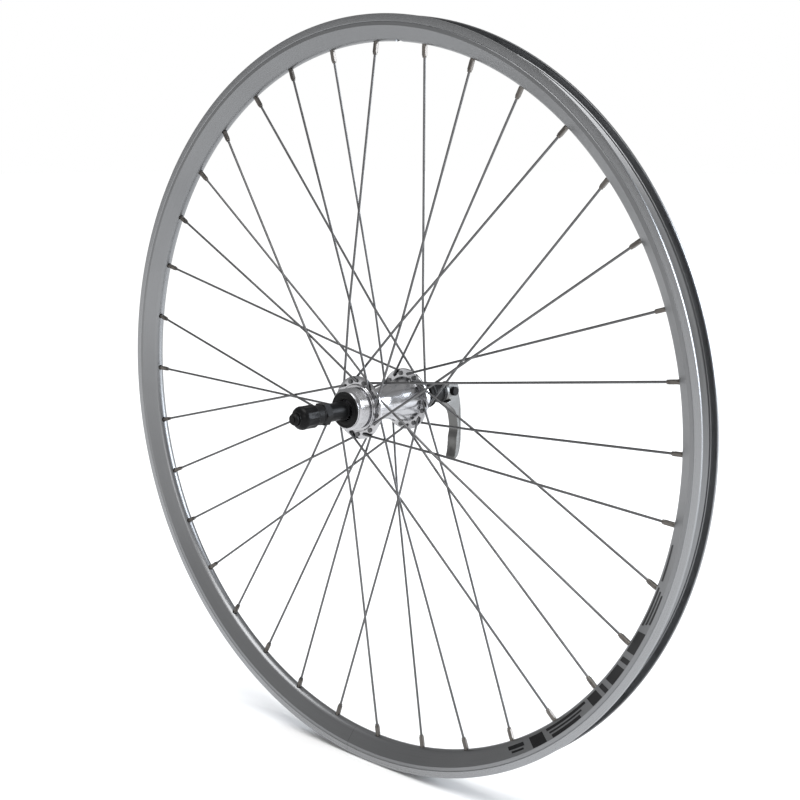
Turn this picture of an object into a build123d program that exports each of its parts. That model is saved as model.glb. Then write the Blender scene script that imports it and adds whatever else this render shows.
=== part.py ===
# Rear bicycle wheel for a 622 mm tyre, with 36 spokes laced three-cross, a hub threaded for a
# screw-on freewheel, and a quick-release skewer. Millimetres.
# The origin is the wheel's centre, on the axle. +Y runs along the axle to the lever side, the drive
# side is at -Y, and +Z is up. An angle on the wheel is counted from +X towards +Z.
import os
from math import cos, radians, sin

from build123d import *

os.makedirs("parts", exist_ok=True)

# Rim: a rounded spoke bed, sloping walls, upright brake tracks and a hooked tyre channel
rim_radius = 317.0
rim_half_width = 12.05
bead_seat_radius = 311.0
well_radius = 307.4
well_half_width = 5.6
brake_track_radius = 311.3
bed_arc_centre = 302.25
bed_arc_radius = 6.3
wall_slope = 53.0
wall = 1.6
side_wall = 1.45
lip_round = 0.8
groove_depth = 0.3
valve_hole_radius = 4.25
valve_angle = 85.0
nipple_hole_radius = 2.45
tool_hole_radius = 4.2

# Lacing
spokes_per_set = 9
set_step = 360.0 / spokes_per_set
crossing_lead = 60.0
outer_cross_angle = 10.0
spoke_radius = 1.0
spoke_bend_radius = 1.1
spoke_head_radius = 1.9
spoke_head_height = 1.1
spoke_end_radius = 298.6
cross_gap = 0.1
hole_stagger = 0.5
elbow_lift = 0.6

# Nipple
nipple_length = 10.0
nipple_radius = 1.95
nipple_square = 3.45
nipple_head_radius = 2.6
nipple_head_height = 3.6

# Hub
flange_radius = 26.4
flange_thickness = 2.2
flange_taper = 2.2
flange_edge = 0.7
spoke_circle_radius = 22.5
spoke_hole_radius = 1.35
drive_flange = -23.25
other_flange = 34.05
thread_radius = 17.4
shoulder_radius = 19.5
pilot_radius = 15.6
cup_radius = 14.2
barrel_bore = 9.5
drive_end = -38.7
other_end = 49.5

# Ball races
ball_radius = 3.175
ball_count = 9
ball_circle = 9.9
race_radius = 3.27
drive_balls = -33.5
other_balls = 43.5

# Axle set
axle_radius = 4.95
axle_bore = 2.75
axle_half_length = 73.0
axle_fit = 0.04
cone_radius = 7.7
half_locknut_width = 67.5
half_clamp_width = 75.9
locknut_flats = 17.0
dropout_spacer_radius = 8.6

# Quick release
rod_radius = 2.45
rod_fit = 0.05
nut_face = -76.1
base_face = 76.1
base_radius = 9.0
recess_radius = 7.3
nut_recess_depth = 4.0
base_recess_depth = 4.0
saddle_bottom = 80.6
saddle_top = 85.6
saddle_radius = 8.3
seat_radius = 10.5
pin_centre = 92.0
pin_radius = 4.0
pin_half_length = 8.2
cam_radius = 8.2
cam_offset = 0.4
cam_gap = 0.3
lever_half_width = 5.3
rod_slot_half_width = 2.75
slot_bottom = -3.2
slot_height = 14.0


def on_wheel(radius, angle, y):
    """The point at this radius and angle about the axle."""
    return Vector(radius * cos(radians(angle)), y, radius * sin(radians(angle)))


def turned(*profile):
    """A ring with a closed profile of (radius, y) points."""
    with BuildPart() as ring:
        with BuildSketch(Plane.XY):
            with BuildLine():
                Polyline(*profile, close=True)
            make_face()
        revolve(axis=Axis.Y)
    return ring


def save(piece, name):
    piece.part.label = name
    export_step(piece.part, f"parts/{name}.step")


# Rim
slope = radians(wall_slope)
bed_radius = bed_arc_centre - bed_arc_radius


def wall_foot(arc_radius):
    """Where the bed's arc meets the sloping wall, as (radius, half width)."""
    return bed_arc_centre - arc_radius * cos(slope), arc_radius * sin(slope)


def wall_reach(arc_radius, half_width):
    """The radius at which the sloping wall comes to this half width."""
    foot_radius, foot_width = wall_foot(arc_radius)
    return foot_radius + (half_width - foot_width) * sin(slope) / cos(slope)


def bed_arc(arc_radius):
    foot_radius, foot_width = wall_foot(arc_radius)
    ThreePointArc(
        (foot_radius, -foot_width),
        (bed_arc_centre - arc_radius, 0),
        (foot_radius, foot_width),
    )


def both_sides(points):
    """A half outline from the wall's foot to the centre, and its mirror image back to the other foot."""
    return points + [(radius, -half_width) for radius, half_width in reversed(points)]


chamber_arc = bed_arc_radius - wall
chamber_half_width = rim_half_width - side_wall
hook_half_width = chamber_half_width - 1.1
outer_half = [
    wall_foot(bed_arc_radius),
    (wall_reach(bed_arc_radius, rim_half_width), rim_half_width),
    (brake_track_radius - 0.8, rim_half_width),
    (brake_track_radius - 0.4, rim_half_width - groove_depth),
    (brake_track_radius, rim_half_width),
    (rim_radius - lip_round, rim_half_width),
    (rim_radius, rim_half_width - lip_round),
    (rim_radius, hook_half_width + 0.5),
    (rim_radius - 0.5, hook_half_width),
    (rim_radius - 2.0, hook_half_width),
    (rim_radius - 3.1, chamber_half_width - 0.1),
    (bead_seat_radius, chamber_half_width - 0.1),
    (bead_seat_radius, well_half_width + 2.6),
    (well_radius, well_half_width),
]
chamber_half = [
    wall_foot(chamber_arc),
    (wall_reach(chamber_arc, chamber_half_width), chamber_half_width),
    (bead_seat_radius - side_wall, chamber_half_width),
    (bead_seat_radius - side_wall, well_half_width + 3.0),
    (well_radius - 1.3, well_half_width - 0.3),
]


def radial_planes(radius, first_angle, count, y=0):
    """Planes that face outward, evenly spaced round the wheel."""
    return [
        Plane(origin=on_wheel(radius, first_angle + 360 / count * number, y), z_dir=on_wheel(
            1, first_angle + 360 / count * number, 0))
        for number in range(count)
    ]


drive_nipple_angle = 10
other_nipple_angle = 0
spokes_per_side = 2 * spokes_per_set

with BuildPart() as rim:
    with BuildSketch(Plane.XY):
        with BuildLine():
            bed_arc(bed_arc_radius)
            Polyline(*both_sides(outer_half))
        make_face()
        with BuildLine():
            bed_arc(chamber_arc)
            Polyline(*both_sides(chamber_half))
        make_face(mode=Mode.SUBTRACT)
    revolve(axis=Axis.Y)
    for first_angle, outward in ((drive_nipple_angle, -1), (other_nipple_angle, 1)):
        hole_y = outward * hole_stagger
        with BuildSketch(*radial_planes(bed_radius - 3, first_angle, spokes_per_side, hole_y)):
            Circle(nipple_hole_radius)
        extrude(amount=6, mode=Mode.SUBTRACT)
        with BuildSketch(*radial_planes(well_radius - 3, first_angle, spokes_per_side)):
            Circle(tool_hole_radius)
        extrude(amount=5, mode=Mode.SUBTRACT)
    with BuildSketch(*radial_planes(bed_radius - 3, valve_angle, 1)):
        Circle(valve_hole_radius)
    extrude(amount=16, mode=Mode.SUBTRACT)
save(rim, "rim")

# Spokes and nipples. On each flange, one set leads and one trails. The set whose hub holes lie
# behind its nipples runs on the flange's outboard face and passes inboard at the outermost crossing.
hub_swing = radians(crossing_lead - outer_cross_angle)
rim_swing = radians(outer_cross_angle)
cross_share = spoke_circle_radius * sin(hub_swing) / (
    spoke_circle_radius * sin(hub_swing) + bed_radius * sin(rim_swing)
)
cross_radius = (
    spoke_circle_radius * cos(hub_swing) * (1 - cross_share) + bed_radius * cos(rim_swing) * cross_share
)


def spoke_points(rim_angle, turn, flange, outward):
    """Head, elbow, crossing and rim points. turn is -1 or +1, outward is -1 or +1 along Y."""
    runs = -turn * outward
    hub_angle = rim_angle + turn * crossing_lead
    rim_y = outward * hole_stagger
    cross_y = flange * (1 - cross_share) + rim_y * cross_share
    head = on_wheel(spoke_circle_radius, hub_angle, flange - runs * (flange_thickness / 2 + 0.05))
    elbow_height = flange_thickness / 2 + spoke_bend_radius + (elbow_lift if runs == outward else 0)
    elbow = on_wheel(spoke_circle_radius, hub_angle, flange + runs * elbow_height)
    cross = on_wheel(
        cross_radius, rim_angle + turn * outer_cross_angle, cross_y - runs * (spoke_radius + cross_gap / 2)
    )
    bed = on_wheel(bed_radius, rim_angle, rim_y)
    axis = (bed - cross).normalized()
    return head, elbow, cross, bed, axis


def spoke_set(first_angle, turn, flange, outward):
    with BuildPart() as spokes:
        for number in range(spokes_per_set):
            head, elbow, cross, bed, axis = spoke_points(
                first_angle + number * set_step, turn, flange, outward
            )
            with BuildLine():
                route = FilletPolyline(
                    head, elbow, cross, bed + axis * (spoke_end_radius - bed_radius),
                    radius=spoke_bend_radius,
                )
            with BuildSketch(Plane(origin=route @ 0, z_dir=route % 0)):
                Circle(spoke_radius)
            sweep()
            with BuildSketch(Plane(origin=head, z_dir=head - elbow)):
                Circle(spoke_head_radius)
            extrude(amount=spoke_head_height)
    return spokes


nipple_top = wall + nipple_head_height
with BuildPart() as nipple:
    with BuildSketch(Plane.XZ):
        with BuildLine():
            Polyline(
                (0, nipple_top + 0.1), (nipple_head_radius - 0.8, nipple_top + 0.1),
                (nipple_head_radius, nipple_top - 0.7), (nipple_head_radius, wall + 1.9),
                (nipple_radius, wall), (nipple_radius, -1.5), (0, -1.5), close=True,
            )
        make_face()
    revolve(axis=Axis.Z)
    with BuildSketch(Plane.XY.offset(1.5 - nipple_length)):
        RectangleRounded(nipple_square, nipple_square, 0.8)
    extrude(amount=nipple_length - 2.5)
    with BuildSketch(Plane.XY.offset(-nipple_length)):
        Circle(nipple_square / 2)
    extrude(amount=2.0)
    Hole(spoke_radius + 0.03)


def nipple_set(first_angle, flange, outward):
    with BuildPart() as nipples:
        for number in range(spokes_per_side):
            angle = first_angle + number * set_step / 2
            turn = nipple_turn(number, outward)
            bed, axis = spoke_points(angle, turn, flange, outward)[3:]
            with Locations(Plane(origin=bed, z_dir=axis)):
                add(nipple.part)
    return nipples


def nipple_turn(number, outward):
    """Which way a nipple's spoke leans. The first one leads on the drive side and trails on the other."""
    return -outward * (1 if number % 2 == 0 else -1)


next_nipple = set_step / 2
save(spoke_set(drive_nipple_angle, 1, drive_flange, -1), "spokes_drive_leading")
save(spoke_set(drive_nipple_angle + next_nipple, -1, drive_flange, -1), "spokes_drive_trailing")
save(spoke_set(other_nipple_angle + next_nipple, 1, other_flange, 1), "spokes_other_leading")
save(spoke_set(other_nipple_angle, -1, other_flange, 1), "spokes_other_trailing")
save(nipple_set(drive_nipple_angle, drive_flange, -1), "nipples_drive_side")
save(nipple_set(other_nipple_angle, other_flange, 1), "nipples_other_side")

# Hub shell, with a press seat for a bearing cup in each end
cup_seat = cup_radius + 0.03
drive_cup_end = drive_balls + 4.8
other_cup_end = other_balls - 4.8
flange_half = flange_thickness / 2
edge = 0.4
with BuildPart() as hub_shell:
    with BuildSketch(Plane.XY):
        with BuildLine():
            barrel = Spline(
                (shoulder_radius, drive_flange + flange_half), (13.4, -12), (13.0, 0),
                (16.0, 16), (shoulder_radius, other_flange - flange_half),
            )
            Polyline(
                barrel @ 1,
                (flange_radius - edge, other_flange - flange_half),
                (flange_radius, other_flange - flange_half + edge),
                (flange_radius, other_flange + flange_half - flange_edge),
                (flange_radius - flange_taper, other_flange + flange_half),
                (shoulder_radius, other_flange + flange_half),
                (16.4, other_flange + 4.5),
                (15.8, other_end - 0.5),
                (15.3, other_end),
                (cup_seat, other_end),
                (cup_seat, other_cup_end - 0.05),
                (barrel_bore, other_cup_end - 0.05),
                (barrel_bore, drive_cup_end + 0.05),
                (cup_seat, drive_cup_end + 0.05),
                (cup_seat, drive_end),
                (pilot_radius - edge, drive_end),
                (pilot_radius, drive_end + edge),
                (pilot_radius, drive_end + 1.2),
                (thread_radius, drive_end + 2.0),
                (thread_radius, drive_flange - 4.0),
                (thread_radius - 0.8, drive_flange - 3.6),
                (thread_radius - 0.8, drive_flange - 3.0),
                (shoulder_radius, drive_flange - 3.0),
                (shoulder_radius, drive_flange - flange_half),
                (flange_radius - flange_taper, drive_flange - flange_half),
                (flange_radius, drive_flange - flange_half + flange_edge),
                (flange_radius, drive_flange + flange_half - edge),
                (flange_radius - edge, drive_flange + flange_half),
                barrel @ 0,
            )
        make_face()
    revolve(axis=Axis.Y)
    for flange, first_angle in ((drive_flange, drive_nipple_angle), (other_flange, other_nipple_angle)):
        with BuildSketch(Plane.XZ.offset(-flange - flange_thickness)):
            with PolarLocations(spoke_circle_radius, spokes_per_side, start_angle=first_angle):
                Circle(spoke_hole_radius)
        extrude(amount=2 * flange_thickness, mode=Mode.SUBTRACT)
save(hub_shell, "hub_shell")


# Bearings. inboard is +1 where the hub's middle lies towards +Y.
def race_cup(balls, inboard):
    """A pressed steel cup that holds the balls from outside and inboard."""
    with BuildPart() as cup:
        with BuildSketch(Plane.XY):
            with BuildLine():
                Polyline(
                    (cup_radius, balls + 4.8 * inboard), (8.2, balls + 4.8 * inboard),
                    (8.2, balls + inboard), (13.4, balls - 1.5 * inboard),
                    (13.4, balls - 3.0 * inboard), (cup_radius, balls - 3.0 * inboard), close=True,
                )
            make_face()
            with Locations((ball_circle, balls)):
                Circle(race_radius, mode=Mode.SUBTRACT)
        revolve(axis=Axis.Y)
    return cup


def race_cone(balls, inboard, outer_end):
    """The cone screwed on the axle, which holds the balls from inside and outboard."""
    bore = axle_radius + axle_fit
    with BuildPart() as cone:
        with BuildSketch(Plane.XY):
            with BuildLine():
                Polyline(
                    (bore, balls + 2.2 * inboard), (6.3, balls + 2.2 * inboard), (7.0, balls),
                    (9.4, balls - 3.3 * inboard), (8.6, balls - 3.7 * inboard),
                    (cone_radius, balls - 4.2 * inboard), (cone_radius, outer_end), (bore, outer_end),
                    close=True,
                )
            make_face()
            with Locations((ball_circle, balls)):
                Circle(race_radius, mode=Mode.SUBTRACT)
        revolve(axis=Axis.Y)
    return cone


def ball_set(balls):
    with BuildPart(Plane.XZ.offset(-balls)) as ring:
        with PolarLocations(ball_circle, ball_count):
            Sphere(ball_radius)
    return ring


def end_cap(face, out, radius, bore):
    """A pressed dust cap over one end of the hub. out is -1 or +1 along Y."""
    return turned(
        (bore, face + 0.05 * out), (cup_radius - 1.6, face + 0.05 * out), (cup_radius - 1.6, face - 1.4 * out),
        (cup_radius - 0.1, face - 1.4 * out), (cup_radius - 0.1, face + 0.05 * out),
        (radius, face + 0.05 * out), (radius, face + 0.8 * out), (radius - 0.5, face + 1.3 * out),
        (bore, face + 1.3 * out),
    )


drive_cone_end = -41.0
other_cone_end = 55.0
save(race_cup(drive_balls, 1), "bearing_cup_drive_side")
save(race_cup(other_balls, -1), "bearing_cup_other_side")
save(ball_set(drive_balls), "balls_drive_side")
save(ball_set(other_balls), "balls_other_side")
save(race_cone(drive_balls, 1, drive_cone_end), "cone_drive_side")
save(race_cone(other_balls, -1, other_cone_end), "cone_other_side")
save(end_cap(drive_end, -1, 15.1, 8.9), "dust_cap_drive_side")
save(end_cap(other_end, 1, 15.1, 8.9), "dust_cap_other_side")


# Axle and what is clamped on it, from the cones out to the frame's dropouts
def sleeve(inner_end, outer_end, radius, bore=axle_radius + axle_fit, chamfer_size=0.3):
    """A plain sleeve on the axle, between two places along it."""
    low, high = sorted((inner_end, outer_end))
    return turned(
        (bore, low), (radius - chamfer_size, low), (radius, low + chamfer_size),
        (radius, high - chamfer_size), (radius - chamfer_size, high), (bore, high),
    )


def locknut(inner_end, outer_end):
    low, high = sorted((inner_end, outer_end))
    with BuildPart() as nut:
        with BuildSketch(Plane.XZ.offset(-high)):
            RegularPolygon(locknut_flats / 2, 6, major_radius=False)
            Circle(axle_radius + axle_fit, mode=Mode.SUBTRACT)
        extrude(amount=high - low)
        corners = nut.edges().filter_by(GeomType.LINE).filter_by(Axis.Y, reverse=True)
        chamfer(corners, 0.5)
    return nut


drive_washer_end = drive_cone_end - 1.6
other_washer_end = other_cone_end + 1.6
drive_locknut_start = -60.5
other_locknut_start = 62.6
save(sleeve(-axle_half_length, axle_half_length, axle_radius, axle_bore, 0.8), "axle")
save(sleeve(drive_cone_end, drive_washer_end, cone_radius + 0.4), "lock_washer_drive_side")
save(sleeve(other_cone_end, other_washer_end, cone_radius + 0.4), "lock_washer_other_side")
save(sleeve(drive_washer_end, drive_locknut_start, cone_radius), "spacer_drive_side")
save(sleeve(other_washer_end, other_locknut_start, 7.0), "spacer_other_side")
save(sleeve(other_washer_end + 0.1, other_locknut_start - 0.1, 11.4, 7.05, 1.0), "seal_boot")
save(locknut(drive_locknut_start, -half_locknut_width), "locknut_drive_side")
save(locknut(other_locknut_start, half_locknut_width), "locknut_other_side")
save(sleeve(-half_locknut_width, -half_clamp_width, dropout_spacer_radius, 5.1), "dropout_spacer_drive_side")
save(sleeve(half_locknut_width, half_clamp_width, dropout_spacer_radius, 5.1), "dropout_spacer_other_side")

# Quick release: the rod with its adjusting nut on the drive side
nut_bore = rod_radius + rod_fit
rod_hole = rod_radius + 0.3
nut_tip = -94.2
insert_end = -97.4
adjusting_nut = turned(
    (nut_bore, nut_face - nut_recess_depth), (recess_radius, nut_face - nut_recess_depth),
    (recess_radius, nut_face), (9.2, nut_face), (9.7, nut_face - 0.9), (9.7, -88.2), (8.9, -90.4),
    (7.4, -91.9), (6.1, -92.6), (5.8, nut_tip), (nut_bore, nut_tip),
)
save(adjusting_nut, "adjusting_nut")
insert = turned(
    (nut_bore, nut_tip), (4.9, nut_tip), (4.9, insert_end + 1.2), (4.2, insert_end),
    (nut_bore, insert_end),
)
save(insert, "nut_lock_insert")
rod_start = insert_end - 0.6
rod_end = pin_centre + 1.5
save(turned((0, rod_start), (rod_radius, rod_start), (rod_radius, rod_end), (0, rod_end)), "skewer_rod")

with BuildPart() as cross_pin:
    with BuildSketch(Plane.YZ):
        with Locations((pin_centre, 0)):
            Circle(pin_radius)
    extrude(amount=pin_half_length, both=True)
    chamfer(cross_pin.edges().filter_by(GeomType.CIRCLE), 0.4)
    with BuildSketch(Plane.XZ.offset(-rod_end - 0.05)):
        Circle(rod_radius + 0.02)
    extrude(amount=8, mode=Mode.SUBTRACT)
save(cross_pin, "cross_pin")

# Lever side base and the curved saddle that the cam bears on
base = turned(
    (rod_hole, base_face + base_recess_depth), (recess_radius, base_face + base_recess_depth),
    (recess_radius, base_face), (base_radius - 0.5, base_face), (base_radius, base_face + 0.5),
    (base_radius, saddle_bottom - 0.1), (rod_hole, saddle_bottom - 0.1),
)
save(base, "lever_base")

seat_bottom = pin_centre - cam_offset - cam_radius - cam_gap
with BuildPart() as saddle:
    with BuildSketch(Plane.XZ.offset(-saddle_top)):
        Circle(saddle_radius)
        Circle(rod_hole, mode=Mode.SUBTRACT)
    extrude(amount=saddle_top - saddle_bottom)
    with BuildSketch(Plane.YZ):
        with Locations((seat_bottom + seat_radius, 0)):
            Circle(seat_radius)
    extrude(amount=10, both=True, mode=Mode.SUBTRACT)
save(saddle, "saddle")


# Conical springs that push the nut and the base off the frame
def conical_spring(wide_end, narrow_end):
    turns = 3
    wide, narrow = 6.3, 3.6
    height = abs(narrow_end - wide_end)
    way = 1 if narrow_end > wide_end else -1
    wire = 0.4
    with BuildPart() as spring:
        with BuildLine():
            places = [
                on_wheel(
                    wide + (narrow - wide) * step / (turns * 8),
                    step * 45,
                    wide_end + way * height * step / (turns * 8),
                )
                for step in range(turns * 8 + 1)
            ]
            coil = Spline(*places)
        with BuildSketch(Plane(origin=coil @ 0, z_dir=coil % 0)):
            Circle(wire)
        sweep()
    return spring


save(conical_spring(nut_face - 0.7, nut_face - nut_recess_depth + 0.6), "spring_drive_side")
save(conical_spring(base_face + 0.7, base_face + base_recess_depth - 0.6), "spring_other_side")

# Lever: a forked cam head on the cross pin, a web that reaches in under the saddle, and an arm that
# hangs down when closed. The arm is thicker below its middle, where the fingers pull it.
cam_centre = pin_centre - cam_offset
lever_bottom = -64.5
inner_line = [
    (83.0, -9.8), (87.5, -13.2), (92.2, -16.6), (95.2, -20.5), (97.2, -28.0), (97.9, -36.0),
    (96.3, -43.0), (95.9, -49.5), (95.1, -55.6), (93.9, -60.0),
]
outer_line = [
    (99.4, -58.7), (100.8, -55.6), (102.1, -49.5), (102.9, -43.0), (102.8, -31.0), (102.6, -19.0),
    (101.5, -10.0), (99.6, -2.0),
]
with BuildPart() as lever:
    with BuildSketch(Plane.YZ):
        with Locations((cam_centre, 0)):
            Circle(cam_radius)
        with BuildLine():
            inner = Spline(*inner_line)
            tip = ThreePointArc(inner @ 1, (94.3, -63.4), (96.4, -63.1))
            outer = Spline(tip @ 1, *outer_line)
            Polyline(outer @ 1, (90.5, -7.6), (86.8, -8.95), (83.2, -9.0), inner @ 0)
        make_face()
    extrude(amount=lever_half_width, both=True)
    with BuildSketch(Plane.XZ):
        with BuildLine():
            Polyline(
                (-lever_half_width, cam_radius + 1), (-lever_half_width, lever_bottom),
                (lever_half_width, lever_bottom), (lever_half_width, cam_radius + 1),
                close=True,
            )
        make_face()
        fillet(vertices().sort_by(Axis.Z)[:2], 4.6)
    extrude(amount=-110, mode=Mode.INTERSECT)
    with BuildSketch(Plane.YZ):
        with Locations((pin_centre, 0)):
            Circle(pin_radius + rod_fit)
    extrude(amount=10, both=True, mode=Mode.SUBTRACT)
    with BuildSketch(Plane.YZ):
        with Locations((pin_centre, slot_height / 2 + slot_bottom)):
            Rectangle(24, slot_height)
    extrude(amount=rod_slot_half_width, both=True, mode=Mode.SUBTRACT)
save(lever, "lever")
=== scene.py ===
from math import atan2, cos, exp, pi, radians, sin, sqrt, tan

import bmesh
import bpy
from mathutils import Matrix, Vector


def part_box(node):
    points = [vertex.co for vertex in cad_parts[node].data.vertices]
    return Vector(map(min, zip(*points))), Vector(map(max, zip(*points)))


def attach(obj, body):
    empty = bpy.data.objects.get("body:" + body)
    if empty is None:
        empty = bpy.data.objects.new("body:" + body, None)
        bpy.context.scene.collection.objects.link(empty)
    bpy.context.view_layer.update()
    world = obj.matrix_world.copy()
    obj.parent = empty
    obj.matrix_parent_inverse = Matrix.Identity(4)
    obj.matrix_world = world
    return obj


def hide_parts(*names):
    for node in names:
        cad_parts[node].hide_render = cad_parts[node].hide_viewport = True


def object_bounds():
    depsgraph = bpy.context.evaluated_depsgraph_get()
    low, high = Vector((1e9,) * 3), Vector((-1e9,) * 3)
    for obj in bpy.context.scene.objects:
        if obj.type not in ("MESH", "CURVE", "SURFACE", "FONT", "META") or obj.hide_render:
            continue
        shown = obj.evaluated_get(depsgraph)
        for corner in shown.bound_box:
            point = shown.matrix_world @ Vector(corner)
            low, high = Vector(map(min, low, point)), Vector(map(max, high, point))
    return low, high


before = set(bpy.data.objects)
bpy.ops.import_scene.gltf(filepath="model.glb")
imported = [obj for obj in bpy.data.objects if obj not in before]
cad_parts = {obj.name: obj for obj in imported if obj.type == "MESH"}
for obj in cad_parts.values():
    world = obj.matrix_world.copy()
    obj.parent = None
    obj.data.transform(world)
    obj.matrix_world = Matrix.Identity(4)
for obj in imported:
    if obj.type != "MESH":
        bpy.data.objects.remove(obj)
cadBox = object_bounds()
mm = 0.001
print("frame loaded:", len(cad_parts), "nodes")

# camera, floor and light
cameraSettings = {
    "azimuth": 42.79, "elevation": 10.11, "distance": 1.166,
    "right": 0.0188, "up": 0.0032, "lens": 62.3,
}
lightSettings = {
    "sky": 0.42, "backdrop": 1.0, "sun": 2.7, "sunAngle": 50.0, "sunTilt": (12.0, 8.0),
    "back": 75.0, "backSize": (1.1, 1.5), "backPlace": (1.7, 1.9, 0.75), "cool": (0.86, 0.92, 1.0),
    "front": 9.0, "frontSize": (0.9, 0.7), "frontPlace": (1.2, -2.1, 0.75), "plain": (1.0, 1.0, 1.0),
}


def placeCamera(settings):
    turn, tilt = radians(settings["azimuth"]), radians(settings["elevation"])
    back = Vector((sin(turn) * cos(tilt), -cos(turn) * cos(tilt), sin(tilt)))
    right = Vector((cos(turn), sin(turn), 0.0))
    up = back.cross(right)
    camera = bpy.data.objects.new("viewCamera", bpy.data.cameras.new("viewCamera"))
    bpy.context.scene.collection.objects.link(camera)
    place = back * settings["distance"] + right * settings["right"] + up * settings["up"]
    turned = Matrix((right, up, back)).transposed().to_4x4()
    camera.matrix_world = Matrix.Translation(place) @ turned
    camera.data.lens = settings["lens"]
    camera.data.sensor_width = 36.0
    camera.data.clip_start = 0.01
    bpy.context.scene.camera = camera


def addLamp(name, size, power, colour, place, target):
    lamp = bpy.data.lights.new(name, "AREA")
    lamp.shape = "RECTANGLE"
    lamp.size, lamp.size_y = size
    lamp.energy = power
    lamp.color = colour
    holder = bpy.data.objects.new(name, lamp)
    bpy.context.scene.collection.objects.link(holder)
    holder.location = place
    holder.rotation_euler = (Vector(target) - Vector(place)).to_track_quat("-Z", "Y").to_euler()


# shader maths on sockets
class Wire:
    def __init__(self, finish, node, output=0):
        self.finish, self.node = finish, node
        self.socket = node.outputs[output] if len(node.outputs) else None

    def out(self, name):
        return Wire(self.finish, self.node, name)

    def calc(self, operation, *terms):
        return self.finish.node("Math", {"operation": operation}, dict(enumerate(terms)))

    def __add__(self, other):
        return self.calc("ADD", self, other)

    def __sub__(self, other):
        return self.calc("SUBTRACT", self, other)

    def __rsub__(self, other):
        return self.calc("SUBTRACT", other, self)

    def __mul__(self, other):
        return self.calc("MULTIPLY", self, other)

    def __truediv__(self, other):
        return self.calc("DIVIDE", self, other)

    def __rtruediv__(self, other):
        return self.calc("DIVIDE", other, self)

    def __abs__(self):
        return self.calc("ABSOLUTE", self)

    def __pow__(self, other):
        return self.calc("POWER", self, other)

    __radd__ = __add__
    __rmul__ = __mul__


class Finish:
    def __init__(self, name):
        self.material = bpy.data.materials.new(name)
        self.material.use_nodes = True
        self.tree = self.material.node_tree
        self.tree.nodes.clear()

    def node(self, kind, settings=None, sockets=None, output=0):
        node = self.tree.nodes.new("ShaderNode" + kind)
        for key, value in (settings or {}).items():
            setattr(node, key, value)
        for key, value in (sockets or {}).items():
            if isinstance(value, Wire):
                self.tree.links.new(value.socket, node.inputs[key])
            else:
                node.inputs[key].default_value = value
        return Wire(self, node, output)

    def place(self):  # the point in the row frame
        return self.node("TexCoord", output="Object")

    def apart(self, vector):
        split = self.node("SeparateXYZ", sockets={"Vector": vector})
        return split.out("X"), split.out("Y"), split.out("Z")

    def noise(self, vector, scale, detail=2.0, rough=0.5):
        return self.node("TexNoise", sockets={
            "Vector": vector, "Scale": scale, "Detail": detail, "Roughness": rough})

    def mix(self, share, first, second):
        first = (*first, 1.0) if isinstance(first, tuple) else first
        second = (*second, 1.0) if isinstance(second, tuple) else second
        kind = {"data_type": "RGBA", "clamp_factor": True}
        return self.node("Mix", kind, {0: share, 6: first, 7: second}, output=2)

    def clamp(self, value, low=0.0, high=1.0):
        return self.node("Clamp", sockets={"Value": value, "Min": low, "Max": high})

    def step(self, value, low, high):  # 0 below low, 1 above high
        return self.node("MapRange", {"interpolation_type": "SMOOTHSTEP"}, {
            "Value": value, "From Min": low, "From Max": high, "To Min": 0.0, "To Max": 1.0})

    def bump(self, height, strength, depth):
        return self.node("Bump", sockets={"Height": height, "Strength": strength, "Distance": depth})

    def surface(self, **sockets):
        named = {key.replace("_", " "): value for key, value in sockets.items()}
        shader = self.node("BsdfPrincipled", sockets=named)
        self.node("OutputMaterial", sockets={"Surface": shader})
        return self.material


# metals turned or drawn round the axle: fine rings that hold the light
def turnedMetal(name, settings):
    f = Finish(name)
    place = f.place()
    x, y, z = f.apart(place)
    radius = (x * x + z * z) ** 0.5
    drift = x / (radius + 0.0001) * settings["drift"]
    rings = f.node("CombineXYZ", sockets={
        "X": radius * settings["rings"], "Y": y * settings["rings"], "Z": drift})
    fine = f.noise(rings, 1.0, 3.0, 0.6)
    cloud = f.noise(place, settings["cloud"], 3.0, 0.5)
    share = f.clamp(fine * 0.55 + cloud * 0.75 - 0.15)
    smear = f.step(cloud, 0.52, 0.72) * settings["smear"]
    return f.surface(
        Base_Color=f.mix(share, settings["dark"], settings["light"]),
        Metallic=1.0,
        Roughness=f.clamp(settings["roughness"] + (fine - 0.5) * settings["spread"] + smear, 0.05, 0.9),
        Normal=f.bump(fine, settings["bump"], 0.00006),
    )


# the rim: soft ring-brushed walls, finer machined brake tracks, and the joint opposite the valve
rimFinish = {
    "dark": (0.17, 0.173, 0.178), "light": (0.26, 0.264, 0.27), "track": (0.31, 0.315, 0.325),
    "trackInner": 0.3111, "trackPitch": 0.00042, "roughness": 0.36, "trackRoughness": 0.27,
    "joint": 265.0, "channel": 0.0103, "grain": 2600.0, "cloud": 9.0, "speck": 900.0,
}


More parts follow.
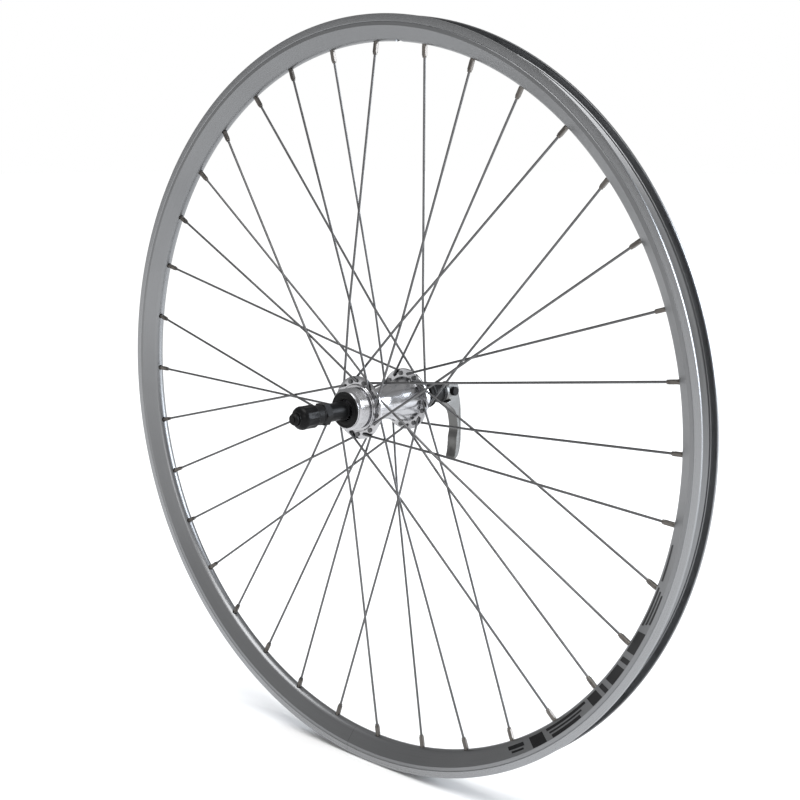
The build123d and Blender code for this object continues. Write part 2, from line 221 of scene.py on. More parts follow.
def rimMetal(name, settings):
    f = Finish(name)
    place = f.place()
    x, y, z = f.apart(place)
    radius = (x * x + z * z) ** 0.5
    away = abs(y)
    around = x / radius * 3.0 + z / radius * 2.0
    rings = f.node("CombineXYZ", sockets={
        "X": radius * settings["grain"], "Y": y * settings["grain"], "Z": around})
    streaks = f.noise(rings, 1.0, 4.0, 0.62)
    cloud = f.noise(place, settings["cloud"], 3.0, 0.5)
    specks = f.step(f.noise(place, settings["speck"], 2.0, 0.5), 0.66, 0.74)
    onTrack = f.step(radius, settings["trackInner"] - 0.0002, settings["trackInner"] + 0.0002) * f.step(
        away, settings["channel"] + 0.0008, settings["channel"] + 0.0013)
    lines = f.node("Math", {"operation": "SINE"}, {0: radius * (2 * pi / settings["trackPitch"])})
    walls = f.mix(f.clamp(streaks * 0.6 + cloud * 0.7 - 0.15), settings["dark"], settings["light"])
    tracks = f.mix(f.clamp(streaks * 0.5 + lines * 0.18 + 0.3), settings["light"], settings["track"])
    angle = radians(settings["joint"])
    across = x * -sin(angle) + z * cos(angle)  # distance from the joint's plane
    nearJoint = f.step(x * cos(angle) + z * sin(angle), 0.1, 0.2)
    joint = (1.0 - f.step(abs(across), 0.00008, 0.0003)) * nearJoint
    colour = f.mix(onTrack, walls, tracks)
    colour = f.mix(joint * 0.7 + specks * 0.12, colour, (0.08, 0.08, 0.085))
    roughness = settings["roughness"] * (1.0 - onTrack) + settings["trackRoughness"] * onTrack
    height = streaks * 0.35 + lines * onTrack * 0.5 - joint * 2.0
    return f.surface(
        Base_Color=colour,
        Metallic=1.0,
        Roughness=f.clamp(roughness + (streaks - 0.5) * 0.16 + specks * 0.1, 0.05, 0.9),
        Normal=f.bump(height, 0.35, 0.00005),
    )


# wire drawn along its length, a little uneven, with faint handling marks
def drawnSteel(name, settings):
    f = Finish(name)
    place = f.place()
    x, y, z = f.apart(place)
    radius = (x * x + z * z) ** 0.5
    tone = f.noise(place, settings["cloud"], 3.0, 0.55)
    grain = f.noise(place, settings["grain"], 2.0, 0.6)
    stretched = f.node("CombineXYZ", sockets={"X": x * 60.0, "Y": y * 900.0, "Z": z * 60.0})
    length = f.noise(stretched, 1.0, 2.0, 0.5)
    dirt = f.step(f.noise(place, 140.0, 2.0, 0.5), 0.55, 0.75) * settings["dirt"]
    colour = f.mix(f.clamp(tone * 0.6 + length * 0.6 - 0.1), settings["dark"], settings["light"])
    nearRim = f.step(radius, 0.283, 0.288)
    return f.surface(
        Base_Color=f.mix(dirt + nearRim * 0.15, colour, settings["dark"]),
        Metallic=1.0,
        Roughness=f.clamp(settings["roughness"] + (grain - 0.5) * 0.3 + dirt, 0.05, 0.9),
        Normal=f.bump(grain, 0.15, 0.00003),
    )


# sand-cast alloy, tumbled: soft pits under a satin skin
def castMetal(name, settings):
    f = Finish(name)
    place = f.place()
    pits = f.noise(place, 2600.0, 3.0, 0.55)
    waves = f.noise(place, 210.0, 2.0, 0.5)
    cloud = f.noise(place, 55.0, 3.0, 0.5)
    colour = f.mix(f.clamp(cloud * 0.9 + pits * 0.25 - 0.1), settings["dark"], settings["light"])
    return f.surface(
        Base_Color=colour,
        Metallic=1.0,
        Roughness=f.clamp(settings["roughness"] + (pits - 0.5) * 0.22 + (cloud - 0.5) * 0.12, 0.05, 0.9),
        Normal=f.bump(pits * 0.4 + waves, settings["bump"], 0.00012),
    )


# black coats on metal: a thin film, with turning lines under it and rubbed spots
def blackCoat(name, settings):
    f = Finish(name)
    place = f.place()
    x, y, z = f.apart(place)
    radius = (x * x + z * z) ** 0.5
    rings = f.node("CombineXYZ", sockets={"X": radius * 3200.0, "Y": y * 3200.0, "Z": x * 40.0})
    fine = f.noise(rings, 1.0, 2.0, 0.6)
    cloud = f.noise(place, 160.0, 3.0, 0.55)
    rub = f.step(f.noise(place, 420.0, 3.0, 0.6), 0.6, 0.74) * settings["rub"]
    return f.surface(
        Base_Color=f.mix(rub, f.mix(cloud, settings["dark"], settings["light"]), (0.12, 0.12, 0.125)),
        Metallic=0.0,
        Specular_IOR_Level=settings["gloss"],
        Roughness=f.clamp(settings["roughness"] + (fine - 0.5) * 0.2 + (cloud - 0.5) * 0.14, 0.08, 0.9),
        Normal=f.bump(fine * 0.5 + cloud * 0.3, 0.2, 0.00005),
    )


# moulded plastic and rubber: a fine spark-eroded grain
def mouldedSkin(name, settings):
    f = Finish(name)
    place = f.place()
    grain = f.noise(place, settings["grain"], 2.0, 0.5)
    cloud = f.noise(place, 120.0, 2.0, 0.5)
    dust = f.step(f.noise(place, 700.0, 2.0, 0.6), 0.62, 0.75) * settings["dust"]
    colour = f.mix(cloud, settings["dark"], settings["light"])
    return f.surface(
        Base_Color=f.mix(dust, colour, (0.1, 0.1, 0.097)),
        Metallic=0.0,
        Specular_IOR_Level=0.12,
        Roughness=f.clamp(settings["roughness"] + (grain - 0.5) * 0.2 + dust, 0.1, 0.95),
        Normal=f.bump(grain, settings["bump"], 0.00008),
    )


# printed film on the rim's wall
def printedFilm(name):
    f = Finish(name)
    place = f.place()
    cloud = f.noise(place, 60.0, 2.0, 0.5)
    edge = f.noise(place, 1500.0, 2.0, 0.5)
    return f.surface(
        Base_Color=f.mix(cloud, (0.004, 0.004, 0.0045), (0.010, 0.010, 0.011)),
        Metallic=0.0,
        Specular_IOR_Level=0.12,
        Roughness=f.clamp(0.3 + (edge - 0.5) * 0.12 + (cloud - 0.5) * 0.1, 0.1, 0.9),
        Normal=f.bump(edge, 0.05, 0.00003),
    )


rimSilver = rimMetal("rimSilver", rimFinish)
hubSilver = turnedMetal("hubSilver", {
    "dark": (0.36, 0.36, 0.37), "light": (0.50, 0.50, 0.515), "rings": 2200.0, "drift": 1.2, "cloud": 70.0,
    "roughness": 0.2, "spread": 0.12, "smear": 0.05, "bump": 0.3})
spokeSteel = drawnSteel("spokeSteel", {
    "dark": (0.075, 0.075, 0.077), "light": (0.18, 0.18, 0.183), "cloud": 26.0, "grain": 1400.0,
    "roughness": 0.38, "dirt": 0.18})
nippleNickel = drawnSteel("nippleNickel", {
    "dark": (0.075, 0.068, 0.062), "light": (0.21, 0.195, 0.18), "cloud": 90.0, "grain": 1800.0,
    "roughness": 0.36, "dirt": 0.25})
raceSteel = turnedMetal("raceSteel", {
    "dark": (0.35, 0.35, 0.36), "light": (0.56, 0.56, 0.58), "rings": 2600.0, "drift": 1.0, "cloud": 90.0,
    "roughness": 0.24, "spread": 0.12, "smear": 0.1, "bump": 0.25})
ballSteel = turnedMetal("ballSteel", {
    "dark": (0.52, 0.52, 0.53), "light": (0.7, 0.7, 0.72), "rings": 300.0, "drift": 1.0, "cloud": 120.0,
    "roughness": 0.08, "spread": 0.05, "smear": 0.03, "bump": 0.05})
rodSteel = turnedMetal("rodSteel", {
    "dark": (0.28, 0.28, 0.29), "light": (0.45, 0.45, 0.46), "rings": 1500.0, "drift": 1.0, "cloud": 100.0,
    "roughness": 0.3, "spread": 0.12, "smear": 0.1, "bump": 0.2})
leverCast = castMetal("leverCast", {
    "dark": (0.12, 0.12, 0.118), "light": (0.21, 0.21, 0.206), "roughness": 0.42, "bump": 0.35})
# black oxide on the axle, lock washers, locknuts and cross pin; the skewer rod is bright steel and gets
# this black only as painted shade where it sits in the dark
blackOxideAndPaintedShade = blackCoat("blackOxideAndPaintedShade", {
    "dark": (0.002, 0.002, 0.0022), "light": (0.008, 0.008, 0.0085),
    "roughness": 0.38, "gloss": 0.12, "rub": 0.15})
blackAnodised = blackCoat("blackAnodised", {
    "dark": (0.0015, 0.0015, 0.0017), "light": (0.006, 0.006, 0.0065),
    "roughness": 0.34, "gloss": 0.12, "rub": 0.06})
blackPlastic = mouldedSkin("blackPlastic", {
    "dark": (0.003, 0.003, 0.003), "light": (0.009, 0.009, 0.0095), "grain": 2400.0, "roughness": 0.44,
    "bump": 0.25, "dust": 0.08})
blackRubber = mouldedSkin("blackRubber", {
    "dark": (0.004, 0.004, 0.004), "light": (0.012, 0.012, 0.012), "grain": 1500.0, "roughness": 0.62,
    "bump": 0.35, "dust": 0.2})
filmBlack = printedFilm("filmBlack")
print("finishes made")


# shaping helpers
def finishPiece(mesh, name, body, material, sharpAngle=38.0, nodes=()):
    data = bpy.data.meshes.new(name)
    bmesh.ops.recalc_face_normals(mesh, faces=mesh.faces)
    mesh.to_mesh(data)
    mesh.free()
    return shelve(data, name, body, material, sharpAngle, nodes)


def shelve(data, name, body, material, sharpAngle, nodes):
    for face in data.polygons:
        face.use_smooth = True
    data.set_sharp_from_angle(angle=radians(sharpAngle))
    data.materials.clear()
    data.materials.append(material)
    piece = bpy.data.objects.new(name, data)
    bpy.context.scene.collection.objects.link(piece)
    weighted = piece.modifiers.new("weighted", "WEIGHTED_NORMAL")
    weighted.keep_sharp = True
    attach(piece, body)
    if nodes:
        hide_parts(*nodes)
    return piece


def spun(outline, steps):  # a closed outline of (radius, y) in mm, turned round the axle
    mesh = bmesh.new()
    corners = [mesh.verts.new((radius * mm, y * mm, 0.0)) for radius, y in outline]
    sides = [mesh.edges.new(pair) for pair in zip(corners, corners[1:] + corners[:1])]
    bmesh.ops.spin(
        mesh, geom=corners + sides, cent=(0, 0, 0), axis=(0, 1, 0), angle=2 * pi,
        steps=steps, use_merge=True)
    bmesh.ops.remove_doubles(mesh, verts=mesh.verts, dist=0.000002)
    bmesh.ops.dissolve_degenerate(mesh, edges=mesh.edges, dist=0.000001)
    return mesh


def softenEdges(mesh, width, segments=2, limit=24.0):
    sharp = [
        edge for edge in mesh.edges
        if len(edge.link_faces) == 2 and edge.calc_face_angle() > radians(limit)
    ]
    bmesh.ops.bevel(
        mesh, geom=sharp, offset=width * mm, offset_type="OFFSET", segments=segments, profile=0.5,
        affect="EDGES", clamp_overlap=True, material=-1)


def turnedPiece(name, outline, body, material, nodes, edge=0.25, steps=96):
    mesh = spun(outline, steps)
    bmesh.ops.recalc_face_normals(mesh, faces=mesh.faces)
    softenEdges(mesh, edge)
    return finishPiece(mesh, name, body, material, nodes=nodes)


def curveThrough(points, perSpan):  # a Catmull-Rom curve through a few points
    ends = [points[0], *points, points[-1]]
    smooth = []
    for first, start, end, last in zip(ends, ends[1:], ends[2:], ends[3:]):
        for step in range(perSpan):
            t = step / perSpan
            smooth.append(tuple(
                0.5 * (2 * b + (c - a) * t + (2 * a - 5 * b + 4 * c - d) * t * t
                       + (3 * b - a - 3 * c + d) * t ** 3)
                for a, b, c, d in zip(first, start, end, last)))
    return smooth + [points[-1]]


def drillHoles(data, holes, segments=24):  # each hole: centre, direction, radius and length, in mm
    cutter = bmesh.new()
    for centre, direction, radius, length in holes:
        aim = Vector(direction).to_track_quat("Z", "Y").to_matrix().to_4x4()
        bmesh.ops.create_cone(
            cutter, cap_ends=True, segments=segments, radius1=radius * mm, radius2=radius * mm,
            depth=length * mm, matrix=Matrix.Translation(Vector(centre) * mm) @ aim)
    cutterData = bpy.data.meshes.new("drills")
    cutter.to_mesh(cutterData)
    cutter.free()
    drills = bpy.data.objects.new("drills", cutterData)
    block = bpy.data.objects.new("block", data)
    for thing in (drills, block):
        bpy.context.scene.collection.objects.link(thing)
    cut = block.modifiers.new("cut", "BOOLEAN")
    cut.operation, cut.solver, cut.object = "DIFFERENCE", "EXACT", drills
    view = bpy.context.evaluated_depsgraph_get()
    drilled = bpy.data.meshes.new_from_object(block.evaluated_get(view))
    bpy.data.objects.remove(drills)
    bpy.data.objects.remove(block)
    return drilled


def atAngle(radius, angle, y=0.0):
    return (radius * cos(radians(angle)), y, radius * sin(radians(angle)))


def reach(node):  # a turned CAD node's radius and its two ends along the axle, in mm
    low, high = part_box(node)
    return high.z / mm, low.y / mm, high.y / mm


# rim
rimShape = {
    "bedCentre": 302.25, "bedRadius": 6.3, "slope": 53.0, "wall": 1.6, "sideWall": 1.45,
    "track": 311.3, "groove": 0.3, "seat": 311.0, "well": 307.4, "wellHalf": 5.6, "hook": 1.1,
    "steps": 288, "nippleHole": 2.45, "toolHole": 4.2, "valveHole": 4.25, "valve": 85.0, "stagger": 0.5,
}


def rimOutlines(shape):
    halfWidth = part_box("rim")[1].y / mm
    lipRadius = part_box("rim")[1].z / mm
    slope = radians(shape["slope"])

    def bed(radius):  # from the middle of the bed to the wall's foot
        return [
            (shape["bedCentre"] - radius * cos(slope * step / 8), radius * sin(slope * step / 8))
            for step in range(9)
        ]

    def wallEnd(radius, width):
        foot = bed(radius)[-1]
        return (foot[0] + (width - foot[1]) * tan(slope), width)

    inner = halfWidth - shape["sideWall"]
    hook = inner - shape["hook"]
    outside = bed(shape["bedRadius"]) + [
        wallEnd(shape["bedRadius"], halfWidth),
        (shape["track"] - 0.8, halfWidth), (shape["track"] - 0.4, halfWidth - shape["groove"]),
        (shape["track"], halfWidth),
        (lipRadius - 0.7, halfWidth), (lipRadius - 0.15, halfWidth - 0.35), (lipRadius, halfWidth - 0.9),
        (lipRadius, hook + 0.6), (lipRadius - 0.3, hook + 0.1), (lipRadius - 1.0, hook),
        (lipRadius - 2.0, hook + 0.15), (lipRadius - 3.0, inner - 0.25),
        (shape["seat"] + 0.4, inner - 0.1), (shape["seat"], inner - 0.5),
        (shape["seat"], shape["wellHalf"] + 2.9), (shape["seat"] - 0.3, shape["wellHalf"] + 2.3),
        (shape["well"] + 0.3, shape["wellHalf"] + 0.25), (shape["well"], shape["wellHalf"] - 0.4),
        (shape["well"], 0.0),
    ]
    chamberArc = shape["bedRadius"] - shape["wall"]
    chamber = bed(chamberArc) + [
        wallEnd(chamberArc, inner), (shape["seat"] - shape["sideWall"], inner),
        (shape["seat"] - shape["sideWall"], shape["wellHalf"] + 3.0),
        (shape["well"] - 1.3, shape["wellHalf"] - 0.3), (shape["well"] - 1.3, 0.0),
    ]
    return [half + [(radius, -width) for radius, width in reversed(half) if width > 0.001]
            for half in (outside, chamber)]


def buildRim(shape):
    outside, chamber = rimOutlines(shape)
    mesh = spun(outside, shape["steps"])
    bmesh.ops.recalc_face_normals(mesh, faces=mesh.faces)
    hollow = spun(chamber, shape["steps"])
    bmesh.ops.recalc_face_normals(hollow, faces=hollow.faces)
    bmesh.ops.reverse_faces(hollow, faces=hollow.faces)  # the chamber's walls face into it
    hollowData = bpy.data.meshes.new("hollow")
    hollow.to_mesh(hollowData)
    hollow.free()
    mesh.from_mesh(hollowData)
    bpy.data.meshes.remove(hollowData)
    data = bpy.data.meshes.new("rimBlank")
    mesh.to_mesh(data)
    mesh.free()
    bedRadius = shape["bedCentre"] - shape["bedRadius"]
    holes = []
    for number in range(36):
        angle = 10 * number
        side = shape["stagger"] * (1 if number % 2 == 0 else -1)
        holes.append((atAngle(bedRadius + 0.5, angle, side), atAngle(1, angle), shape["nippleHole"], 6.0))
        holes.append((atAngle(shape["well"], angle), atAngle(1, angle), shape["toolHole"], 5.0))
    valvePlace, valveAim = atAngle(bedRadius + 6, shape["valve"]), atAngle(1, shape["valve"])
    holes.append((valvePlace, valveAim, shape["valveHole"], 18.0))
    drilled = drillHoles(data, holes)
    return shelve(drilled, "rimExtrusion", "wheel", rimSilver, 34.0, ["rim"])


buildRim(rimShape)
print("rim made")

# plain bars printed on the rim's sloping walls
decalShape = {
    "lift": 0.06, "inner": 0.03, "outer": 0.97, "slant": 1.2,
    "bars": [  # start and end angle, and where across the wall
        (300.2, 303.6, 0.10, 0.42), (300.6, 303.2, 0.55, 0.72), (305.0, 308.0, 0.0, 1.0),
        (308.9, 318.2, 0.0, 0.24), (309.2, 316.8, 0.38, 0.54), (309.4, 316.0, 0.68, 1.0),
        (318.9, 321.2, 0.0, 1.0), (322.0, 322.9, 0.0, 1.0), (323.9, 327.2, 0.0, 1.0),
        (328.0, 328.9, 0.0, 1.0), (330.0, 333.8, 0.0, 1.0), (334.9, 341.4, 0.0, 0.26),
        (335.2, 340.8, 0.40, 0.62), (335.4, 340.2, 0.78, 1.0), (342.4, 348.0, 0.10, 0.36),
    ],
}


def buildDecals(name, side, turnBy, shape):
    foot = rimShape["bedCentre"] - rimShape["bedRadius"] * cos(radians(rimShape["slope"]))
    footWidth = rimShape["bedRadius"] * sin(radians(rimShape["slope"]))
    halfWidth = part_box("rim")[1].y / mm
    rise = tan(radians(rimShape["slope"]))
    low = Vector((foot, footWidth))
    high = Vector((foot + (halfWidth - footWidth) * rise, halfWidth))
    outward = Vector((low.y - high.y, high.x - low.x)).normalized() * shape["lift"]
    span = shape["outer"] - shape["inner"]
    mesh = bmesh.new()
    for start, end, fromShare, toShare in shape["bars"]:
        rungs = []
        for rung in range(5):
            share = shape["inner"] + span * (fromShare + (toShare - fromShare) * rung / 4)
            point = low.lerp(high, share) + outward
            vert = mesh.verts.new((point.x * mm, point.y * mm, 0.0))
            rungs.append((vert, share))
        edges = [mesh.edges.new((a[0], b[0])) for a, b in zip(rungs, rungs[1:])]
        for vert, share in rungs:  # the slant leans each bar as it rises
            lean = Matrix.Rotation(-radians(start + shape["slant"] * (share - 0.5)), 3, "Y")
            vert.co = lean @ vert.co
        bmesh.ops.spin(
            mesh, geom=[vert for vert, share in rungs] + edges, cent=(0, 0, 0), axis=(0, -1, 0),
            angle=radians(end - start), steps=max(2, round(end - start) * 3), use_merge=False)
    if side < 0:
        bmesh.ops.scale(mesh, vec=(1, -1, 1), verts=mesh.verts)
    if turnBy:
        halfTurn = Matrix.Rotation(radians(turnBy), 3, "Y")
        bmesh.ops.rotate(mesh, cent=(0, 0, 0), matrix=halfTurn, verts=mesh.verts)
    bmesh.ops.recalc_face_normals(mesh, faces=mesh.faces)
    facing = sum(face.normal.y * face.calc_area() for face in mesh.faces)
    if facing * side < 0:
        bmesh.ops.reverse_faces(mesh, faces=mesh.faces)
    data = bpy.data.meshes.new(name)
    mesh.to_mesh(data)
    mesh.free()
    return shelve(data, name, "wheel", filmBlack, 60.0, [])


buildDecals("rimBarsDriveSide", -1, 0, decalShape)
buildDecals("rimBarsOtherSide", 1, 180, decalShape)
print("bars made")

# hub shell with its thread, flanges and spoke holes
hubShape = {
    "flange": 26.4, "thickness": 2.2, "shoulder": 19.5, "drive": -23.25, "other": 34.05,
    "threadTop": 17.4, "threadRoot": 16.85, "threadPitch": 1.058, "threadFrom": -36.9, "turns": 9,
    "pilot": 15.6, "driveEnd": -38.7, "otherEnd": 49.5, "seat": 14.25, "bore": 9.5,
    "holeCircle": 22.5, "hole": 1.35,
}


def hubOutline(shape):
    half = shape["thickness"] / 2
    drive, other = shape["drive"], shape["other"]
    barrel = curveThrough([
        (shape["shoulder"], drive + half + 0.3), (15.0, -17.5), (13.4, -12), (13.0, 0), (14.4, 8),
        (16.0, 16), (17.6, 25), (shape["shoulder"], other - half - 0.3)], 5)
    thread = []
    for turn in range(shape["turns"]):
        start = shape["threadFrom"] + turn * shape["threadPitch"]
        thread += [
            (shape["threadRoot"], start), (shape["threadTop"], start + 0.42),
            (shape["threadTop"], start + 0.56), (shape["threadRoot"], start + 0.98),
        ]
    flangeOut, flangeIn = shape["flange"], shape["flange"] - 2.2
    return barrel + [
        (flangeOut - 0.5, other - half), (flangeOut, other - half + 0.5),
        (flangeOut, other + half - 0.7), (flangeIn, other + half),
        (shape["shoulder"] + 0.6, other + half), (shape["shoulder"] - 0.6, other + half + 0.5),
        (17.2, other + 2.6), (16.4, other + 4.6),
        (15.9, shape["otherEnd"] - 0.8), (15.3, shape["otherEnd"]),
        (shape["seat"], shape["otherEnd"]), (shape["seat"], shape["otherEnd"] - 11.0),
        (shape["bore"], shape["otherEnd"] - 11.0), (shape["bore"], shape["driveEnd"] + 10.2),
        (shape["seat"], shape["driveEnd"] + 10.2), (shape["seat"], shape["driveEnd"]),
        (shape["pilot"] - 0.4, shape["driveEnd"]), (shape["pilot"], shape["driveEnd"] + 0.4),
        (shape["pilot"], shape["threadFrom"] - 0.5),
    ] + thread + [
        (shape["threadRoot"] - 0.3, drive - 3.9), (shape["threadRoot"] - 0.3, drive - 3.2),
        (shape["shoulder"] - 0.4, drive - 3.0), (shape["shoulder"], drive - 2.6),
        (shape["shoulder"], drive - half - 0.4), (shape["shoulder"] + 0.4, drive - half),
        (flangeIn, drive - half), (flangeOut, drive - half + 0.7), (flangeOut, drive + half - 0.5),
        (flangeOut - 0.5, drive + half),
    ]


def buildHub(shape):
    mesh = spun(hubOutline(shape), 144)
    bmesh.ops.recalc_face_normals(mesh, faces=mesh.faces)
    data = bpy.data.meshes.new("hubBlank")
    mesh.to_mesh(data)
    mesh.free()
    holes = []
    for flange, first in ((shape["drive"], 10), (shape["other"], 0)):
        for number in range(18):
            place = atAngle(shape["holeCircle"], first + 20 * number, flange)
            holes.append((place, (0, 1, 0), shape["hole"], 6.0))
    drilled = drillHoles(data, holes, 20)
    return shelve(drilled, "hubShellPolished", "wheel", hubSilver, 34.0, ["hub_shell"])


buildHub(hubShape)
print("hub made")


# turned black and steel pieces along the axle
def buildCap(name, node, out):
    radius, low, high = reach(node)
    face = low if out < 0 else high  # the outside face
    bore, drop = 8.9, 1.3
    back = face - out * drop
    outline = [
        (bore, back), (cupFit, back), (cupFit, back - out * 1.4), (cupFit + 1.4, back - out * 1.4),
        (cupFit + 1.4, back), (radius, back), (radius, face - out * 0.5), (radius - 0.5, face),
        (radius - 1.4, face), (radius - 1.7, face - out * 0.25), (radius - 3.2, face - out * 0.25),
        (radius - 3.5, face), (bore + 1.1, face), (bore + 0.8, face - out * 0.3), (bore, face - out * 0.3),
    ]
    return turnedPiece(name, outline, "wheel", blackPlastic, [node], edge=0.12)


cupFit = 12.6
buildCap("dustCapDrive", "dust_cap_drive_side", -1)
buildCap("dustCapOther", "dust_cap_other_side", 1)


def buildSleeve(name, node, body, material, bore, waist=0.0, lip=1.2, edge=0.3):
    radius, low, high = reach(node)
    outline = [(bore, low), (radius, low), (radius, low + lip)]
    if waist:
        outline += [
            (radius - waist, low + lip + waist), (radius - waist, high - lip - waist),
        ]
    outline += [(radius, high - lip), (radius, high), (bore, high)]
    return turnedPiece(name, outline, body, material, [node], edge)


axleBore = 5.0
buildSleeve(
    "axleSpacerDrive", "spacer_drive_side", "axle_set", blackAnodised, axleBore,
    waist=0.15, lip=1.6)
buildSleeve(
    "sealBoot", "seal_boot", "axle_set", blackRubber, 7.05, waist=0.7, lip=1.1, edge=0.45)
dropoutSpacers = {
    "dropoutSpacerDrive": "dropout_spacer_drive_side", "dropoutSpacerOther": "dropout_spacer_other_side",
}
for pieceName, nodeName in dropoutSpacers.items():
    buildSleeve(
        pieceName, nodeName, "axle_set", blackPlastic, axleBore + 0.1, waist=0.35, lip=1.1)

# adjusting nut: a cup with shallow grip flutes and a rounded end, drawn in to a collar
nutShape = {"bore": 2.5, "recess": 7.3, "depth": 4.0, "grip": 11.3, "flutes": 12, "fluteDepth": 0.45}


def buildNut(shape):
    radius, low, high = reach("adjusting_nut")
    outline = [
        (shape["bore"], high - shape["depth"]), (shape["recess"], high - shape["depth"]),
        (shape["recess"], high),
        (radius - 0.5, high), (radius, high - 0.6),
    ]
    outline += [(radius, high - 0.6 - shape["grip"] * step / 10) for step in range(1, 11)]
    outline += curveThrough(
        [(radius - 0.25, low + 5.2), (8.7, low + 3.7), (7.2, low + 2.4), (6.0, low + 1.6)], 5)
    outline += [(5.8, low + 1.1), (5.8, low), (shape["bore"], low)]
    mesh = spun(outline, 144)
    for vert in mesh.verts:  # the flutes fade out towards both ends of the grip
        y = vert.co.y / mm
        out = sqrt(vert.co.x ** 2 + vert.co.z ** 2) / mm
        if out < shape["recess"] + 0.4 or y > high - 0.8:
            continue
        fade = max(0.0, sin(pi * min(1.0, (high - 0.8 - y) / shape["grip"])))
        wave = 0.5 - 0.5 * cos(shape["flutes"] * atan2(vert.co.z, vert.co.x))
        pull = 1 - shape["fluteDepth"] * fade * wave / out
        vert.co.x *= pull
        vert.co.z *= pull
    return finishPiece(
        mesh, "adjustingNutBody", "skewer_nut", blackAnodised, 30.0, ["adjusting_nut"])


buildNut(nutShape)

# base under the lever: a knurled washer with a stepped rim
baseShape = {"bore": 2.75, "recess": 7.3, "depth": 4.0, "teeth": 36, "tooth": 0.25}


def buildBase(shape):
    radius, low, high = reach("lever_base")
    outline = [
        (shape["bore"], low + shape["depth"]), (shape["recess"], low + shape["depth"]),
        (shape["recess"], low), (radius - 0.4, low), (radius, low + 0.4), (radius, low + 1.2),
        (radius, low + 2.0), (radius, low + 2.6),
        (radius, high - 0.5), (radius - 0.5, high), (shape["bore"], high),
    ]
    mesh = spun(outline, 144)
    for vert in mesh.verts:  # grip teeth round the middle of the rim
        y = vert.co.y / mm
        out = sqrt(vert.co.x ** 2 + vert.co.z ** 2) / mm
        if out > radius - 0.2 and low + 1.0 < y < low + 2.8:
            wave = 0.5 - 0.5 * cos(shape["teeth"] * atan2(vert.co.z, vert.co.x))
            pull = 1 - shape["tooth"] * wave / out
            vert.co.x *= pull
            vert.co.z *= pull
    return finishPiece(
        mesh, "leverBaseRing", "clamp_base", blackAnodised, 30.0, ["lever_base"])


buildBase(baseShape)
print("turned pieces made")

# quick-release lever: two cam ears and a swept arm, cast as one
# its outlines are (y, height) in mm, seen from the side
leverShape = {
    "camCentre": 91.6, "camRadius": 8.15, "pinCentre": 92.0, "pinBore": 4.04,
    "halfWidth": 5.2, "slotHalf": 2.85, "slotBottom": -3.2, "tipRound": 4.6, "bottom": -63.9, "voxel": 0.3,
    "inner": [
        (83.1, -9.8), (87.5, -13.1), (92.2, -16.5), (95.2, -20.5), (97.2, -28), (97.9, -36),
        (96.3, -43), (95.9, -49.5), (95.1, -55.6), (93.9, -60)],
    "tip": [(93.7, -61.8), (94.3, -63.1), (95.3, -63.4), (96.4, -62.9)],
    "outer": [
        (99.4, -58.7), (100.8, -55.6), (102.1, -49.5), (102.8, -43), (102.7, -31), (102.5, -19),
        (101.4, -10), (99.6, -3.2)],
    "head": [(90.5, -7.4), (86.8, -8.7), (83.2, -9.1)],
    "grooveDepth": 0.45, "grooveIn": 2.2, "dishDepth": 0.7,
}


def prism(mesh, outline, fromX, toX):
    corners = [mesh.verts.new((fromX * mm, y * mm, z * mm)) for y, z in outline]
    grown = bmesh.ops.extrude_face_region(mesh, geom=[mesh.faces.new(corners)], use_keep_orig=True)["geom"]
    moved = [item for item in grown if isinstance(item, bmesh.types.BMVert)]
    bmesh.ops.translate(mesh, vec=((toX - fromX) * mm, 0, 0), verts=moved)


def sideOutline(shape):  # the arm seen from the side, without points that coincide
    inner, outer = curveThrough(shape["inner"], 4), curveThrough(shape["outer"], 4)
    points = inner + shape["tip"] + outer + shape["head"]
    return [point for point, following in zip(points, points[1:] + points[:1])
            if (Vector(point) - Vector(following)).length > 0.02]


def outerFace(shape, height):  # the arm's outer face at this height
    for low, high in zip(shape["outer"], shape["outer"][1:]):
        if low[1] <= height <= high[1]:
            return low[0] + (high[0] - low[0]) * (height - low[1]) / (high[1] - low[1])
    return shape["outer"][-1][0] if height > shape["outer"][-1][1] else shape["outer"][0][0]


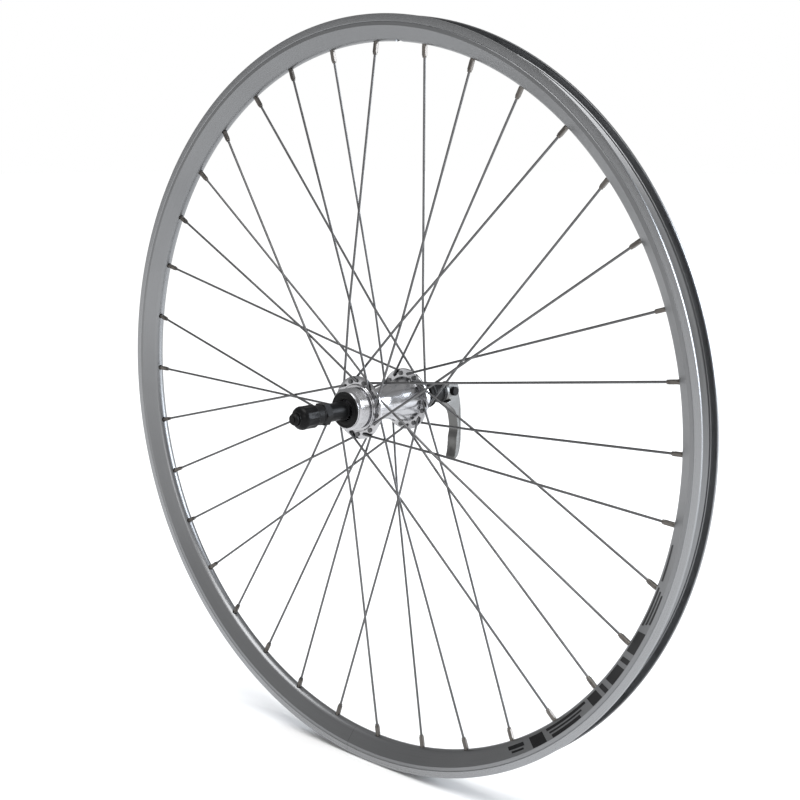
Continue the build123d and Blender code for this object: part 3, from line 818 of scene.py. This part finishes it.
def buildLever(shape):
    mesh = bmesh.new()
    half = shape["halfWidth"]
    cam = [(shape["camCentre"] + shape["camRadius"] * cos(2 * pi * step / 96),
            shape["camRadius"] * sin(2 * pi * step / 96)) for step in range(96)]
    prism(mesh, sideOutline(shape), -half, half)
    prism(mesh, [point for point in cam if point[1] < shape["slotBottom"]], -half, half)
    prism(mesh, cam, -half, -shape["slotHalf"])
    prism(mesh, cam, shape["slotHalf"], half)
    bmesh.ops.recalc_face_normals(mesh, faces=mesh.faces)
    data = bpy.data.meshes.new("leverBlank")
    mesh.to_mesh(data)
    mesh.free()
    blank = bpy.data.objects.new("leverBlank", data)
    bpy.context.scene.collection.objects.link(blank)
    fuse = blank.modifiers.new("fuse", "REMESH")
    fuse.mode, fuse.voxel_size = "VOXEL", shape["voxel"] * mm
    ease = blank.modifiers.new("ease", "SMOOTH")
    ease.factor, ease.iterations = 0.5, 5
    view = bpy.context.evaluated_depsgraph_get()
    fused = bpy.data.meshes.new_from_object(blank.evaluated_get(view))
    bpy.data.objects.remove(blank)
    for vert in fused.vertices:
        x, y, z = (value / mm for value in vert.co)
        along = exp(-((z + 33) / 19) ** 4)
        if abs(x) > 2.5 and along > 0.01:  # a groove along both sides, near the outer face
            edge = outerFace(shape, z) - shape["grooveIn"]
            x -= shape["grooveDepth"] * along * exp(-((y - edge) / 0.5) ** 2) * (1 if x > 0 else -1)
        if -60 < z < -42 and y < outerFace(shape, z) - 3.2:  # a dish for the finger
            y += shape["dishDepth"] * exp(-(x / 2.6) ** 2 - ((z + 52) / 4.5) ** 2)
        below = shape["bottom"] + shape["tipRound"] - z
        if below > 0:  # the tip is round seen from outside too
            rise = max(shape["tipRound"] ** 2 - below ** 2, 0.0) ** 0.5
            x *= (half - shape["tipRound"] + rise) / half
        vert.co = (x * mm, y * mm, z * mm)
    bore = [((0.0, shape["pinCentre"], 0.0), (1, 0, 0), shape["pinBore"], 20.0)]
    return shelve(
        drillHoles(fused, bore, 72), "quickLeverCast", "clamp_lever", leverCast, 50.0, ["lever"])


buildLever(leverShape)
print("lever made")

# finishes for the CAD pieces that stay
nodeFinishes = {
    "spokes_drive_leading": spokeSteel, "spokes_drive_trailing": spokeSteel,
    "spokes_other_leading": spokeSteel, "spokes_other_trailing": spokeSteel,
    "nipples_drive_side": nippleNickel, "nipples_other_side": nippleNickel,
    "bearing_cup_drive_side": raceSteel, "bearing_cup_other_side": raceSteel,
    "balls_drive_side": ballSteel, "balls_other_side": ballSteel,
    "cone_drive_side": raceSteel, "cone_other_side": raceSteel,
    "axle": blackOxideAndPaintedShade, "lock_washer_drive_side": blackOxideAndPaintedShade, "lock_washer_other_side": blackOxideAndPaintedShade,
    "spacer_other_side": blackAnodised, "locknut_drive_side": blackOxideAndPaintedShade, "locknut_other_side": blackOxideAndPaintedShade,
    # the skewer rod's black coat is painted shade: the rod itself is bright steel
    "nut_lock_insert": blackPlastic, "skewer_rod": blackOxideAndPaintedShade, "cross_pin": blackOxideAndPaintedShade,
    "saddle": leverCast, "spring_drive_side": rodSteel, "spring_other_side": rodSteel,
}
for nodeName, material in nodeFinishes.items():
    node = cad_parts[nodeName]
    node.data.materials.clear()
    node.data.materials.append(material)
print("finishes given")

# studio
placeCamera(cameraSettings)
bpy.context.scene.view_settings.view_transform = "Standard"

floorMesh = bmesh.new()
bmesh.ops.create_grid(floorMesh, x_segments=1, y_segments=1, size=30.0)
bmesh.ops.translate(floorMesh, vec=(0, 0, cadBox[0].z - 0.0004), verts=floorMesh.verts)
floorData = bpy.data.meshes.new("floor")
floorMesh.to_mesh(floorData)
floorMesh.free()
floor = bpy.data.objects.new("floor", floorData)
bpy.context.scene.collection.objects.link(floor)
floorFinish = Finish("floorPaper")
floorData.materials.append(floorFinish.surface(Base_Color=(0.92, 0.92, 0.92, 1.0), Roughness=0.9))

world = bpy.data.worlds.new("studio")
bpy.context.scene.world = world
world.use_nodes = True
skyTree = world.node_tree
skyTree.nodes.clear()


def skyGlow(strength):
    glow = skyTree.nodes.new("ShaderNodeBackground")
    glow.inputs["Color"].default_value = (1.0, 1.0, 1.0, 1.0)
    glow.inputs["Strength"].default_value = strength
    return glow


rays = skyTree.nodes.new("ShaderNodeLightPath")
choice = skyTree.nodes.new("ShaderNodeMixShader")
result = skyTree.nodes.new("ShaderNodeOutputWorld")
skyTree.links.new(rays.outputs["Is Camera Ray"], choice.inputs[0])
skyTree.links.new(skyGlow(lightSettings["sky"]).outputs[0], choice.inputs[1])
skyTree.links.new(skyGlow(lightSettings["backdrop"]).outputs[0], choice.inputs[2])
skyTree.links.new(choice.outputs[0], result.inputs[0])

sun = bpy.data.objects.new("sun", bpy.data.lights.new("sun", "SUN"))
sun.data.energy = lightSettings["sun"]
sun.data.angle = radians(lightSettings["sunAngle"])
sun.rotation_euler = (*(radians(tilt) for tilt in lightSettings["sunTilt"]), 0)
bpy.context.scene.collection.objects.link(sun)
wheelCentre = (0, 0, 0)
for side, tint in (("back", "cool"), ("front", "plain")):
    addLamp(
        side + "Lamp", lightSettings[side + "Size"], lightSettings[side], lightSettings[tint],
        lightSettings[side + "Place"], wheelCentre)
